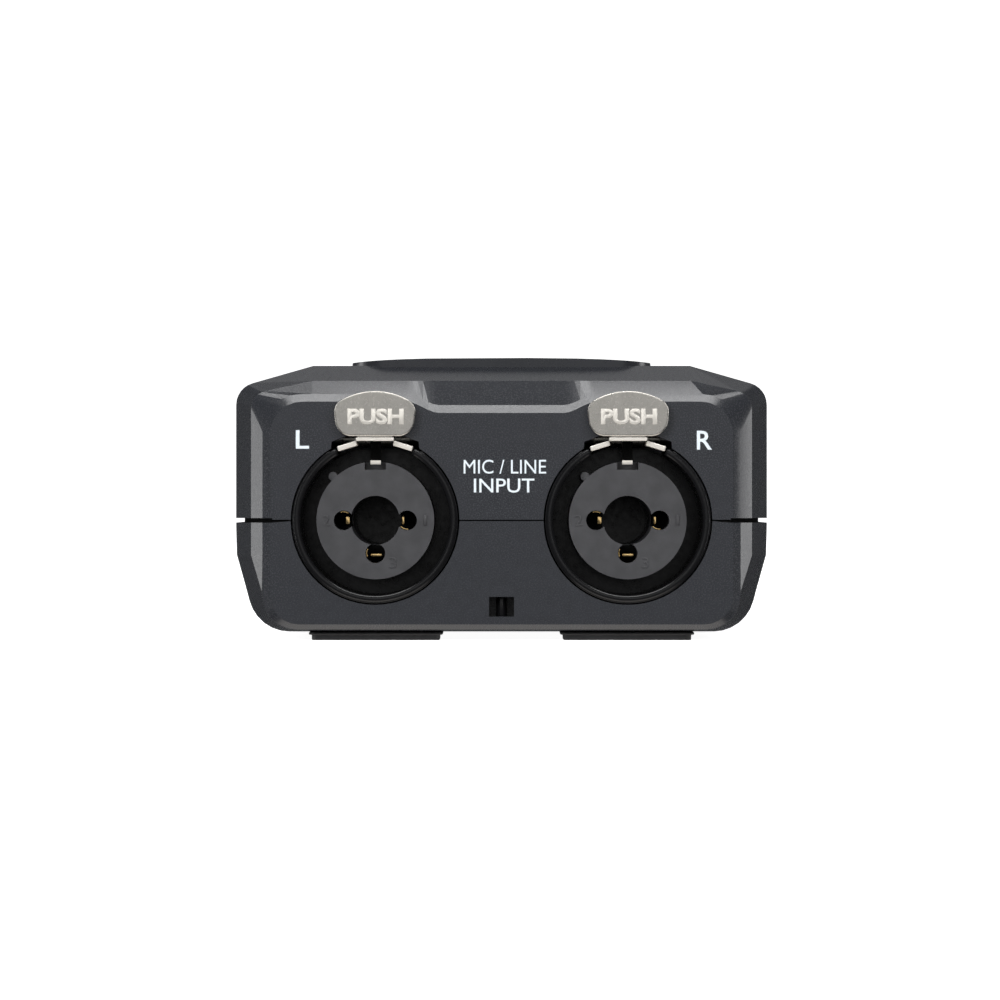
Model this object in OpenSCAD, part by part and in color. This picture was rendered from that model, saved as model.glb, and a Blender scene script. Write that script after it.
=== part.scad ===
// Portable field recorder with two combo connectors and two swivelling microphones.
// It lies on its four feet: +Z is the display side, -Y the connector end, +Y the microphone end.
// The origin is at the middle of the footprint, on the surface that the feet rest on.

/* [Body] */
// Overall width with the microphones folded in
body_w = 70.8; // [70.4:0.1:71.2]
// Overall length from the latch tabs to the microphone tips
overall_len = 155; // [154:0.5:158]
// Height of the flat top face
top_z = 36.5; // [36.3:0.1:37]
// Height of the joint between the two housings
parting_z = 15.9; // [15.7:0.1:16.1]
// Wall thickness of the housings
wall = 2; // [1.9:0.05:2.1]
// Height of the feet, and so of the bottom face
base_z = 1.06; // [1:0.02:1.2]

/* [Connectors] */
// Distance of each connector's axis from the middle
jack_x = 16.7; // [16.5:0.1:16.9]
// Radius of the connector's round face
jack_r = 10.95; // [10.8:0.05:11]
// Radius of the annular well that takes the plug's shell
well_r = 9.9; // [9.8:0.05:10]
// Radius of the insert inside the well
insert_r = 7.8; // [7.6:0.1:8]
// Radius of the phone-plug bore
plug_r = 3.25; // [3.2:0.05:3.3]
// Distance of the contact holes from the connector's axis
contact_ring = 4.2; // [4.1:0.05:4.3]

/* [Controls] */
// Radius of the three transport keys
key_r = 4.6; // [4.2:0.1:4.8]
// Height of the key tops
key_top = 37.5; // [37.4:0.05:37.6]
// Travel of a key
key_travel = 0.4; // [0.3:0.05:0.4]
// Width of the display window
window_w = 34; // [32:0.5:35]
// Length of the display window
window_l = 24; // [22:0.5:25]

/* [Microphones] */
// Radius of each microphone
mic_r = 7; // [6.5:0.1:7.2]
// Reach of each microphone from its pivot
mic_len = 22; // [21:0.5:22]
// Radius of the turret that each microphone turns with
turret_r = 8.8; // [8.6:0.1:8.9]

/* [Hidden] */
$fn = 48;
eps = 0.05;

half_w = body_w / 2;
tab_stand = 1.9;                              // how far the latch tabs stand out of the end panel
face_y = tab_stand - overall_len / 2;         // the end panel's face
panel_t = 3;                                  // its thickness
rim_y = face_y + 7;                           // where the end bevels reach the full section
panel_half = 30.6;                            // half width of the end panel's flat
top_half = 25.1;                              // half width of the flat top face
plate_z = 36;                                 // seat of the face plate
plate_crown = 37.55;                          // its highest line
plate_w = 40;
plate_y = [-69, 44];
keypad_y = [-66, 3];
window_y = 24;

mic_tip = mic_len - 1;                        // where the grille's rounded end begins
pivot_y = overall_len / 2 - (mic_tip + mic_r) * sqrt(0.5);
lip_r = 11;                                   // housing lips above and below each turret
pivot_x = half_w - lip_r;
nose_y = pivot_y + 8.8;
mic_z = 18;
slot_h = 9;                                   // half height of the slot that a microphone turns in
pivot_pin_r = 2;
run_gap = 0.05;                               // radial clearance of the running pins

screws = [[-27, -52], [27, -52], [-27, 34], [27, 34]];
boss_r = 2.8;
screw_r = 1;
battery_x = [-15, 0, 15];
battery_r = 7.1;
battery_z = 10.15;
battery_y = [-34.3, 16.2];
cover_w = 46;
cover_y = [-36.8, 16.8];
cover_t = 1.6;
cover_travel = 5;
board_z = 20;
board_top = 21.2;
side_z = 24.5;                                // height of the side controls
volume_y = -8;
level_y = -12;
rocker_w = 17;
rocker_h = 5;
rocker_axis = -1.3;                           // from the body's side
power_y = -34;
input_y = -53;
phones_y = 16;
usb_y = -32;
door_y = 14;
door_w = 17;
door_pivot = [half_w - 0.7, 21.1];            // x and z of the card door's hinge line
door_t = 1.2;
card_z = 22.4;
speaker_y = 45;
tripod_y = 27;
tripod_r = 3.175;
lamp_y = 60;
latch_pivot = [9, 10.9];                      // y and z of the latch pin, from the connector's centre
latch_pin_r = 0.6;
well_depth = 15;
plug_contact_y = [19, 24, 29];

function unit(v) = v / norm(v);
function smooth(t) = t * t * (3 - 2 * t);

// The points of corner b, rounded to radius r between its neighbours a and c in n steps
function corner_arc(a, b, c, r, n) =
    let (u = unit(a - b), v = unit(c - b), half = acos(u * v) / 2,
         centre = b + unit(u + v) * r / sin(half),
         from = b + u * r / tan(half) - centre, to = b + v * r / tan(half) - centre,
         a0 = atan2(from[1], from[0]), turn = atan2(to[1], to[0]) - a0,
         sweep = turn > 180 ? turn - 360 : turn < -180 ? turn + 360 : turn)
    [for (i = [0 : n]) centre + r * [cos(a0 + sweep * i / n), sin(a0 + sweep * i / n)]];

// An outline of corners [x, y, r]; a corner with r = 0 stays sharp
function rounded(path, n = 6) =
    let (m = len(path), p = [for (q = path) [q[0], q[1]]])
    [for (i = [0 : m - 1]) each path[i][2] == 0 ? [p[i]]
        : corner_arc(p[(i + m - 1) % m], p[i], p[(i + 1) % m], path[i][2], n)];

// One closed section of the body: low corner, flank points, shoulder corner, bevel point, and the top edge,
// which dips by dip over the middle
function section(low, flank, shoulder, bevel, dip) =
    let (low_p = [low[0], low[1]], shoulder_p = [shoulder[0], shoulder[1]],
         half = concat(
             corner_arc([0, low[1]], low_p, flank[0], low[2], 6), flank,
             corner_arc(flank[len(flank) - 1], shoulder_p, bevel, shoulder[2], 6), [bevel],
             [for (i = [0 : 6]) [12.6 - 4.4 * i / 6, bevel[1] - dip * smooth(i / 6)]]),
         n = len(half))
    concat(half, [for (i = [n - 1 : -1 : 0]) [-half[i][0], half[i][1]]]);

// The bevelled end, from the panel's edge to the full section
SECTIONS = [
    section([panel_half, base_z + 1.1, 3.8],
        [[panel_half, 6.5], [panel_half, 11.3], [panel_half, parting_z]],
        [panel_half, top_z - 4.9, 4.3], [top_half, top_z - 4.9], 1.5),
    section([panel_half + 1, base_z + 0.4, 4.6],
        [[panel_half + 1.02, 6.5], [panel_half + 1.02, 11.3], [panel_half + 1.02, parting_z]],
        [panel_half + 1, top_z - 3.9, 5], [top_half, top_z - 3.9], 1.45),
    section([panel_half + 1.1, base_z + 0.2, 4.8],
        [[panel_half + 1.2, 6.5], [panel_half + 2.6, 11.3], [panel_half + 2.6, parting_z]],
        [panel_half + 2.6, top_z - 3.85, 2.5], [top_half, top_z - 2.1], 0),
    section([half_w - 2.87, base_z, 5.5],
        [[half_w - 1.3, 7], [half_w - 0.1, 11.3], [half_w, parting_z]],
        [half_w, top_z - 2.94, 3], [top_half, top_z], 0)
];
SECTION_Y = [face_y, face_y + 0.8, face_y + 2.5, rim_y, overall_len / 2 - 5];
INNER = [
    [half_w - 8.5, base_z + wall], [half_w - 3.8, 5.5], [half_w - 2.1, 11.5], [half_w - wall, 16],
    [half_w - wall, top_z - 4.3], [top_half - 0.5, top_z - wall]
];

// ---- Small shape helpers ----

module along_y(y0, y1) translate([0, y1, 0]) rotate([90, 0, 0]) linear_extrude(y1 - y0) children();
module along_x(x0, x1) translate([x0, 0, 0]) rotate([90, 0, 90]) linear_extrude(x1 - x0) children();
module along_z(z0, z1) translate([0, 0, z0]) linear_extrude(z1 - z0) children();
module block(low, high) translate(low) cube(high - low);
module rod_x(x0, x1, y, z, r) translate([x0, y, z]) rotate([0, 90, 0]) cylinder(h = x1 - x0, r = r);
module rod_y(y0, y1, x, z, r) translate([x, y0, z]) rotate([-90, 0, 0]) cylinder(h = y1 - y0, r = r);
module rod_z(z0, z1, x, y, r) translate([x, y, z0]) cylinder(h = z1 - z0, r = r);
module both_sides() for (s = [-1, 1]) scale([s, 1, 1]) children();

module rounded_rect(w, h, r) {
    square([w - 2 * r, h], center = true);
    square([w, h - 2 * r], center = true);
    for (x = [-1, 1], y = [-1, 1]) translate([x * (w / 2 - r), y * (h / 2 - r)]) circle(r);
}

// ---- Body shape shared by the two housings ----

module body_loft() {
    n = len(SECTIONS[0]);
    rings = len(SECTION_Y);
    points = [for (k = [0 : rings - 1]) each [for (p = SECTIONS[min(k, 3)]) [p[0], SECTION_Y[k], p[1]]]];
    sides = [for (k = [0 : rings - 2], i = [0 : n - 1])
        [k * n + i, k * n + (i + 1) % n, (k + 1) * n + (i + 1) % n, (k + 1) * n + i]];
    near_end = [for (i = [n - 1 : -1 : 0]) i];
    far_end = [for (i = [0 : n - 1]) (rings - 1) * n + i];
    polyhedron(points, concat([near_end], sides, [far_end]));
}

// Plan outline of the microphone end, brought in by inset
module plan_trim(inset) along_z(-5, 60) {
    translate([inset - half_w - (inset > 0 ? 0 : 1), -90])
        square([body_w - 2 * inset + (inset > 0 ? 0 : 2), 90 + pivot_y]);
    both_sides() translate([pivot_x, pivot_y]) circle(lip_r - inset);
    translate([-pivot_x, pivot_y - 1]) square([2 * pivot_x, nose_y - inset - pivot_y + 1]);
}

// Side outline, whose top and bottom slope in towards the microphone end
module side_trim(inset) along_x(-60, 60)
    polygon([
        [-90, base_z - 4 + inset], [36, base_z - 4 + inset], [72, base_z + 3.2 + inset],
        [72, top_z - 3 - inset], [4, top_z + 5.5 - inset], [-90, top_z + 5.5 - inset]
    ]);

// Plan of the space that one turret and its microphone sweep, let out by grow
module sweep_plan(grow) {
    reach = (mic_r + 1 + grow) * sqrt(0.5);
    far = 40 * sqrt(0.5);
    translate([pivot_x, pivot_y]) {
        circle(turret_r + 0.4 + grow);
        polygon([[-reach, -reach], [reach, -reach],
                 [reach + far, far - reach], [-reach - far, far - reach]]);
    }
}

module mic_slots(grow) both_sides() along_z(mic_z - slot_h - grow, mic_z + slot_h + grow) sweep_plan(grow);

module cavity() intersection() {
    union() {
        along_y(face_y + panel_t, rim_y + 0.2)
            polygon([[0.6 - panel_half, 3.4], [panel_half - 0.6, 3.4], [panel_half + 0.2, 8],
                     [panel_half + 0.2, top_z - 8.5], [panel_half - 4.1, top_z - 5],
                     [4.1 - panel_half, top_z - 5], [-panel_half - 0.2, top_z - 8.5],
                     [-panel_half - 0.2, 8]]);
        along_y(rim_y, 75)
            polygon(concat(INNER, [for (i = [len(INNER) - 1 : -1 : 0]) [-INNER[i][0], INNER[i][1]]]));
    }
    plan_trim(wall);
    side_trim(wall);
}

// The shadow gap along the sides and the fine line across the end panel
module parting_groove() {
    inner = [[panel_half - 0.3, face_y - 2], [panel_half - 0.3, face_y + 1], [panel_half + 2, face_y + 4],
             [half_w - 1.1, rim_y + 1], [half_w - 1.1, 75], [half_w + 2, 75], [half_w + 2, face_y - 2]];
    both_sides() along_z(parting_z - 0.3, parting_z + 0.3) polygon(inner);
    block([0.2 - panel_half, face_y - 1, parting_z - 0.09],
          [panel_half - 0.2, face_y + 0.6, parting_z + 0.09]);
}

module hollow_body() difference() {
    intersection() {
        body_loft();
        plan_trim(0);
        side_trim(0);
    }
    difference() {
        cavity();
        mic_slots(wall);
    }
    mic_slots(0);
    parting_groove();
    for (s = [-1, 1]) rod_z(4, 32, s * pivot_x, pivot_y, pivot_pin_r + run_gap);
    for (s = [-1, 1]) translate([s * jack_x, 0, parting_z]) {
        rod_y(face_y - 1, face_y + panel_t + 1, 0, 0, jack_r + 0.2);
        along_y(face_y - 1, face_y + panel_t + 1)
            polygon([[-5.9, 8.8], [5.9, 8.8], [5.75, 10.4], [2.95, 11.5], [2.95, 12.6],
                     [-2.95, 12.6], [-2.95, 11.5], [-5.75, 10.4]]);
    }
}

// ---- Keys ----

function polar(r, a) = r * [cos(a), sin(a)];

// name, outline, x, y and turn of every key on the face
KEYS = [
    ["stop_key", "round", -12.6, -6, 0], ["record_key", "round", 0, -6, 0],
    ["play_key", "round", 12.6, -6, 0],
    ["up_key", "arc", 0, -32, 90], ["back_key", "arc", 0, -32, 180],
    ["down_key", "arc", 0, -32, 270], ["forward_key", "arc", 0, -32, 0], ["enter_key", "centre", 0, -32, 0],
    ["menu_key", "pill", -12.2, -56, 0], ["mixer_key", "pill", 0, -56, 0],
    ["mark_key", "pill", 12.2, -56, 0]
];
ring_in = 6.2;
ring_out = 12.6;
ring_half_angle = 38;
pill_w = 9;
pill_h = 4.6;

module key_outline(kind, grow) {
    if (kind == "round") circle(key_r + grow);
    if (kind == "centre") circle(4.5 + grow);
    if (kind == "pill") {
        square([pill_w - pill_h, pill_h + 2 * grow], center = true);
        for (s = [-1, 1]) translate([s * (pill_w - pill_h) / 2, 0]) circle(pill_h / 2 + grow);
    }
    if (kind == "arc") {
        apex = [-grow / sin(ring_half_angle), 0];
        intersection() {
            difference() {
                circle(ring_out + grow);
                circle(ring_in - grow);
            }
            polygon([apex, apex + polar(24, -ring_half_angle), apex + polar(24, ring_half_angle)]);
        }
    }
}

module key(name) color(name == "record_key" ? [0.55, 0.07, 0.06] : [0.14, 0.145, 0.155])
    for (k = KEYS) if (k[0] == name) translate([k[2], k[3], 0]) rotate(k[4]) {
    along_z(35.5, key_top) key_outline(k[1], 0);
    along_z(35.3, plate_z - 0.04) key_outline(k[1], 0.4);
}

module stop_key() key("stop_key");
module record_key() key("record_key");
module play_key() key("play_key");
module up_key() key("up_key");
module down_key() key("down_key");
module back_key() key("back_key");
module forward_key() key("forward_key");
module enter_key() key("enter_key");
module menu_key() key("menu_key");
module mixer_key() key("mixer_key");
module mark_key() key("mark_key");

module key_holes() for (k = KEYS)
    translate([k[2], k[3], 0]) rotate(k[4]) along_z(35, 40) key_outline(k[1], 0.15);

// ---- Housings and face ----

module housing_bosses(z0, z1) for (p = screws) rod_z(z0, z1, p[0], p[1], boss_r);

module side_opening(s, y, z, w, h, r) scale([s, 1, 1]) translate([0, y, z])
    along_x(half_w - wall - 1, half_w + 1) rounded_rect(w, h, r);

module front_housing() color([0.20, 0.21, 0.23]) difference() {
    union() {
        intersection() {
            hollow_body();
            block([-45, -90, parting_z], [45, 90, 60]);
        }
        housing_bosses(parting_z, top_z - 2.6);
    }
    translate([0, (plate_y[0] + plate_y[1]) / 2, 0])
        along_z(plate_z, 45) rounded_rect(plate_w + 0.1, plate_y[1] - plate_y[0] + 0.1, 5.05);
    block([-18.2, keypad_y[0], 30], [18.2, keypad_y[1], 40]);
    translate([0, window_y, 0]) along_z(30, 40) rounded_rect(window_w - 1.6, window_l - 1.6, 0.5);
    rod_z(30, 40, 0, lamp_y, 1.6);
    for (p = screws) rod_z(parting_z - 1, 28, p[0], p[1], screw_r + 0.02);
    side_opening(-1, volume_y, side_z, rocker_w + 0.5, rocker_h + 0.4, 2.5);
    side_opening(1, level_y, side_z, rocker_w + 0.5, rocker_h + 0.4, 2.5);
    for (c = [[-1, volume_y], [1, level_y]])
        rod_z(side_z - rocker_h / 2 - 0.9, side_z + rocker_h / 2 + 0.9,
              c[0] * (half_w + rocker_axis), c[1], 0.4 + run_gap);
    side_opening(-1, power_y, side_z, 12, 3.4, 0.6);
    side_opening(1, input_y + 2, side_z, 10, 3.4, 0.6);
    side_opening(1, usb_y, 23, 9.6, 4, 1.9);
    rod_x(-half_w - 1, 2.5 - half_w, phones_y, 24.2, 3.1);
    // recess, slot and hinge bores of the card door
    block([half_w - 1.5, door_y - door_w / 2 - 0.15, 20.35], [half_w + 1, door_y + door_w / 2 + 0.15, 28.9]);
    block([half_w - 3, door_y - 6.2, 21.7], [half_w, door_y + 6.2, 23.1]);
    rod_y(door_y - door_w / 2 - 0.9, door_y + door_w / 2 + 0.9, door_pivot[0], door_pivot[1], 0.4);
}

module rear_housing() color([0.19, 0.20, 0.22]) difference() {
    union() {
        intersection() {
            hollow_body();
            block([-45, -90, -2], [45, 90, parting_z]);
        }
        housing_bosses(base_z + 1, parting_z);
        rod_z(base_z + 1, 9, 0, tripod_y, 7.2);
        // thicker floor under the cover's thumb recess, and the strap anchor's block
        block([-24, cover_y[0] - cover_travel - 1.5, base_z + 1], [24, cover_y[0] + 0.2, 4.3]);
        block([-4.4, face_y + 2, base_z + 1], [4.4, face_y + 9, 8.4]);
    }
    // battery opening and the shallow recess that its cover slides into
    block([-cover_w / 2 - 0.2, cover_y[0] - 0.2, 0], [cover_w / 2 + 0.2, cover_y[1] + 0.2, 3.3]);
    block([-cover_w / 2 - 0.2, cover_y[0] - cover_travel - 0.4, 0],
          [cover_w / 2 + 0.2, cover_y[0], base_z + 1.75]);
    for (i = [-2 : 2]) translate([0, speaker_y + i * 2, 0]) along_z(0, 4) rounded_rect(11, 1, 0.49);
    rod_z(0, 12, 0, tripod_y, 5);
    for (p = screws) {
        rod_z(0, base_z + 1.5, p[0], p[1], 2.2);
        rod_z(0, 20, p[0], p[1], screw_r + 0.1);
    }
    // strap hole in the end panel, widening behind the pin
    block([-1.65, face_y - 1, 3.2], [1.65, face_y + 2, 5.8]);
    block([-3.2, face_y + 1.2, 3], [3.2, face_y + 7.5, 6]);
}

module face_plate() color([0.10, 0.105, 0.115]) difference() {
    intersection() {
        along_y(plate_y[0] - 1, plate_y[1] + 1)
            polygon(concat(
                [for (i = [-12 : 12]) let (t = i / 12)
                    [t * plate_w / 2, plate_crown - 0.6 * pow(abs(t), 3)]],
                [[plate_w / 2, plate_z], [-plate_w / 2, plate_z]]));
        translate([0, (plate_y[0] + plate_y[1]) / 2, 0])
            along_z(plate_z - 1, 40) rounded_rect(plate_w, plate_y[1] - plate_y[0], 5);
    }
    key_holes();
    translate([0, window_y, 0]) along_z(35, 40) rounded_rect(window_w + 0.2, window_l + 0.2, 1.3);
}

module display_window() color([0.05, 0.06, 0.07])
    translate([0, window_y, 0]) along_z(plate_z, 37.15) rounded_rect(window_w, window_l, 1.2);

module lcd_module() color([0.6, 0.6, 0.58]) difference() {
    block([-18.5, window_y - 14.5, 30.3], [18.5, window_y + 14.5, 34.5]);
    block([-16.8, window_y - 12, 31.8], [16.8, window_y + 12, 36]);
}

module lcd_glass() color([0.62, 0.66, 0.55])
    block([-16.7, window_y - 11.9, 31.8], [16.7, window_y + 11.9, 34.4]);

// ---- Boards ----

module key_board() color([0.05, 0.25, 0.12])
    block([-19.2, keypad_y[0] - 1, 33.5], [19.2, keypad_y[1] + 1, 34.5]);

module key_switches() color([0.75, 0.75, 0.72]) for (k = KEYS) {
    p = k[1] == "arc" ? polar(9.3, k[4]) : [0, 0];
    rod_z(34.5, 34.85, k[2] + p[0], k[3] + p[1], 2);
}

module main_board() color([0.05, 0.25, 0.12]) difference() {
    block([-31, -38, board_z], [31, 45, board_top]);
    housing_holes();
}

module housing_holes() for (p = screws) rod_z(board_z - 1, board_top + 1, p[0], p[1], boss_r + 0.4);

module board_chips() color([0.08, 0.08, 0.09]) {
    block([-6, -24, board_top], [6, -12, board_top + 1.4]);
    block([-4, 2, board_top], [5, 10, board_top + 1.2]);
    for (i = [0 : 3]) block([-14, -20 + i * 5, board_top], [-11, -17.5 + i * 5, board_top + 1]);
    for (i = [0 : 2]) rod_z(board_top, board_top + 5, 12, -20 + i * 7, 2.5);
    for (s = [-1, 1]) block([s * 8 - 3, 36, board_top], [s * 8 + 3, 41, board_top + 3.5]);
}

module jack_board() color([0.05, 0.25, 0.12])
    block([-29, face_y + 35, 5.2], [29, face_y + 36.2, 30]);

// ---- Side controls and ports ----

module rocker(s, y) translate([s * half_w, y, side_z]) scale([s, 1, 1]) {
    along_x(-2.5, -0.1) rounded_rect(rocker_w, rocker_h, 2.3);
    block([-3.3, -5, -3.5], [-2.45, 5, 3.5]);
    rod_z(-rocker_h / 2 - 0.8, rocker_h / 2 + 0.8, rocker_axis, 0, 0.4);
}

module slider(s, y, knob) translate([s * half_w, y, side_z]) scale([s, 1, 1]) {
    block([-3, -knob / 2, -1.5], [-0.6, knob / 2, 1.5]);
    for (i = [-1 : 1]) block([-0.7, i * knob / 4 - 0.3, -1.5], [-0.15, i * knob / 4 + 0.3, 1.5]);
    block([-3.1, -knob / 2 - 1, -2.6], [-2.3, knob / 2 + 1, 2.6]);
}

module volume_rocker() color([0.1, 0.1, 0.11]) rocker(-1, volume_y);
module level_rocker() color([0.1, 0.1, 0.11]) rocker(1, level_y);
module power_slider() color([0.1, 0.1, 0.11]) slider(-1, power_y, 6);
module input_slider() color([0.1, 0.1, 0.11]) slider(1, input_y, 4);

module phones_jack() color([0.07, 0.07, 0.08]) difference() {
    union() {
        rod_x(-half_w + 0.3, -half_w + 4, phones_y, 24.2, 3);
        block([-half_w + 2.2, phones_y - 3.4, board_top], [-18.5, phones_y + 3.4, 27.4]);
    }
    rod_x(-half_w, -20, phones_y, 24.2, 1.8);
}

module usb_port() color([0.7, 0.7, 0.7]) difference() {
    union() {
        translate([0, usb_y, 23]) along_x(25.5, half_w - 0.6) rounded_rect(9, 3.3, 1.6);
        block([25.4, usb_y - 4.4, board_top], [31, usb_y + 4.4, 23]);
    }
    difference() {
        translate([0, usb_y, 23]) along_x(27, half_w) rounded_rect(8.4, 2.7, 1.3);
        block([26, usb_y - 3.3, 22.65], [half_w - 1.2, usb_y + 3.3, 23.35]);
    }
}

module card_door() color([0.17, 0.18, 0.20]) {
    x = door_pivot[0];
    z = door_pivot[1];
    block([x - door_t / 2, door_y - door_w / 2, z], [x + door_t / 2, door_y + door_w / 2, 28.75]);
    rod_y(door_y - door_w / 2, door_y + door_w / 2, x, z, door_t / 2);
    rod_y(door_y - door_w / 2 - 0.6, door_y + door_w / 2 + 0.6, x, z, 0.35);
}

module card_socket() color([0.72, 0.72, 0.70]) difference() {
    block([16, door_y - 7, board_top], [31, door_y + 7, 23.7]);
    block([17, door_y - 5.7, card_z - 0.6], [32, door_y + 5.7, card_z + 0.6]);
}

module memory_card() color([0.06, 0.06, 0.07])
    block([18, door_y - 5.5, card_z - 0.5], [half_w - 1.8, door_y + 5.5, card_z + 0.5]);

// ---- Battery bay and underside ----

module battery_cover() color([0.18, 0.19, 0.21]) difference() {
    union() {
        block([-cover_w / 2, cover_y[0], base_z], [cover_w / 2, cover_y[1], base_z + cover_t]);
        block([-5, cover_y[1] - 3, base_z + cover_t - eps], [5, cover_y[1] - 1.5, base_z + cover_t + 0.3]);
    }
    for (i = [0 : 5]) translate([0, cover_y[1] - 5.6 - i * 1.6, base_z])
        cube([18 - 2 * i, 0.8, 0.8], center = true);
}

module battery_tray() color([0.12, 0.12, 0.13]) difference() {
    union() {
        block([-23.9, -38.4, 4.3], [23.9, 18.4, 18.8]);
        block([-23.9, -36.5, base_z + wall], [23.9, 18.4, 5]);
        for (x = [-20, 20], y = [-30, 10]) rod_z(18, board_z, x, y, 2);
    }
    block([-22.6, -37.2, 0], [22.6, 17.2, 17.6]);
}

module batteries() color([0.55, 0.45, 0.2]) for (i = [0 : 2]) {
    flip = i == 1 ? 1 : 0;
    nub = 1.3;
    rod_y(battery_y[0] + flip * nub, battery_y[1] - (1 - flip) * nub, battery_x[i], battery_z, battery_r);
    if (flip == 1) rod_y(battery_y[0], battery_y[0] + nub, battery_x[i], battery_z, 2.75);
    else rod_y(battery_y[1] - nub, battery_y[1], battery_x[i], battery_z, 2.75);
}

// A tapering coil that presses a battery forward, swept along its own helix
module coil_spring(x) {
    turns = 2.5;
    steps = 30;
    sides = 6;
    wire = 0.3;
    function mid(i) = let (t = i / steps, a = 360 * turns * t, r = 4.6 - 2.2 * t)
        [x + r * cos(a), -36.75 + 2.1 * t, battery_z + r * sin(a)];
    function out(i) = let (a = 360 * turns * i / steps) [cos(a), 0, sin(a)];
    points = [for (i = [0 : steps], j = [0 : sides - 1])
        mid(i) + wire * (cos(360 * j / sides) * out(i) + sin(360 * j / sides) * [0, 1, 0])];
    polyhedron(points, concat(
        [[for (j = [sides - 1 : -1 : 0]) j]],
        [for (i = [0 : steps - 1], j = [0 : sides - 1])
            let (next = (j + 1) % sides)
            [i * sides + j, i * sides + next, (i + 1) * sides + next, (i + 1) * sides + j]],
        [[for (j = [0 : sides - 1]) steps * sides + j]]));
}

module battery_springs() color([0.8, 0.8, 0.78]) for (x = battery_x) coil_spring(x);

module battery_contacts() color([0.8, 0.8, 0.78]) for (x = battery_x)
    block([x - 5, battery_y[1] + 0.1, battery_z - 5], [x + 5, 17.2, battery_z + 5]);

module speaker() color([0.1, 0.1, 0.1]) {
    rod_z(base_z + wall, base_z + wall + 1.5, 0, speaker_y, 8);
    rod_z(base_z + wall + 1.4, base_z + wall + 4.5, 0, speaker_y, 5.5);
}

module tripod_insert() color([0.75, 0.6, 0.3]) difference() {
    rod_z(base_z + 0.1, 9.4, 0, tripod_y, 5);
    rod_z(0, 8.2, 0, tripod_y, tripod_r);
}

module rubber_feet() color([0.09, 0.09, 0.095])
    for (x = [-16.7, 16.7], y = [-67.5, 47]) translate([x, y, 0]) {
    along_z(0, base_z - 0.3) rounded_rect(17, 10, 1);
    along_z(base_z - 0.35, base_z) rounded_rect(17.8, 10.8, 1.4);
}

module case_screws() color([0.25, 0.25, 0.26]) for (p = screws) difference() {
    union() {
        rod_z(base_z + 0.3, base_z + 1.5, p[0], p[1], 1.9);
        rod_z(base_z + 1.4, 27, p[0], p[1], screw_r);
    }
    block([p[0] - 0.25, p[1] - 1.1, 0], [p[0] + 0.25, p[1] + 1.1, base_z + 0.9]);
    block([p[0] - 1.1, p[1] - 0.25, 0], [p[0] + 1.1, p[1] + 0.25, base_z + 0.9]);
}

module status_lamp() color([0.7, 0.1, 0.08]) rod_z(32, top_z - 1.2, 0, lamp_y, 1.5);

module strap_pin() color([0.2, 0.2, 0.2]) rod_z(3, 6, 0, face_y + 3, 0.7);

// ---- Combo connectors; each is drawn about its own axis at the panel's face ----

module at_jack(s) translate([s * jack_x, face_y, parting_z]) children();

module jack_shell(s) color([0.06, 0.06, 0.065]) at_jack(s) difference() {
    union() {
        rod_y(-0.25, well_depth, 0, 0, jack_r);
        for (e = [-1, 1]) block([min(e * 6, e * 8.2), 5, 5], [max(e * 6, e * 8.2), 12.5, 12.4]);
    }
    rod_y(-1, well_depth + 1, 0, 0, well_r);
    block([-6, -1, 8.2], [6, 12.6, 14]);
    rod_x(-9, 9, latch_pivot[0], latch_pivot[1], latch_pin_r);
}

// The rear bodies, which close the wells and hold the plug contacts
module jack_bases() color([0.06, 0.06, 0.065]) for (s = [-1, 1]) at_jack(s) difference() {
    union() {
        rod_y(well_depth, well_depth + 2, 0, 0, jack_r);
        block([-7, well_depth + 1, -7], [7, 35, 7]);
    }
    rod_y(well_depth - 1, 33, 0, 0, plug_r);
    for (y = plug_contact_y) block([-1, y - 1.5, 2], [1, y + 1.5, 5]);
}

module contact_places() for (p = [[-contact_ring, 0], [contact_ring, 0], [0, -contact_ring - 0.15]])
    translate([p[0], 0, p[1]]) children();

module jack_insert(s) color([0.13, 0.13, 0.135]) at_jack(s) difference() {
    union() {
        rod_y(1.2, well_depth, 0, 0, insert_r);
        rod_y(2.4, well_depth, 8.1 * cos(134), 8.1 * sin(134), 0.6);
    }
    rod_y(0, 16, 0, 0, plug_r);
    contact_places() rod_y(0, 13.5, 0, 0, 1.3);
    block([-1.4, 0, 6.7], [1.4, 6.5, 9]);
}

module socket_contacts() color([0.85, 0.68, 0.35]) for (s = [-1, 1]) at_jack(s) difference() {
    contact_places() difference() {
        rod_y(3, 13.5, 0, 0, 1.28);
        rod_y(2, 12.5, 0, 0, 1.02);
    }
    rod_y(0, 16, 0, 0, plug_r + 0.3);
}

module plug_springs() color([0.8, 0.78, 0.7]) for (s = [-1, 1], y = plug_contact_y) at_jack(s)
    block([-0.8, y - 1.2, plug_r + 0.1], [0.8, y + 1.2, 4.2]);

// Outline of the latch's thumb tab: round corners between straight flanks and an arched top
function tab_outline() =
    let (flank = 5.36, foot = 11.1, corner_r = 1.9, arch_r = 9, arch_z = 8.16,
         corner_x = flank - corner_r,
         corner_z = arch_z + sqrt(pow(arch_r - corner_r, 2) - pow(corner_x, 2)),
         join = atan2(corner_z - arch_z, corner_x),
         corner = [for (i = [0 : 5]) [corner_x, corner_z] + polar(corner_r, join * i / 5)],
         arch = [for (i = [1 : 11]) [0, arch_z] + polar(arch_r, join + (90 - join) * i / 6)])
    concat(corner_arc([-flank, 14], [-flank, foot], [flank, foot], 2.3, 8),
           corner_arc([-flank, foot], [flank, foot], [flank, 14], 2.3, 8),
           corner, arch, [for (i = [5 : -1 : 0]) [-corner[i][0], corner[i][1]]]);

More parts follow.
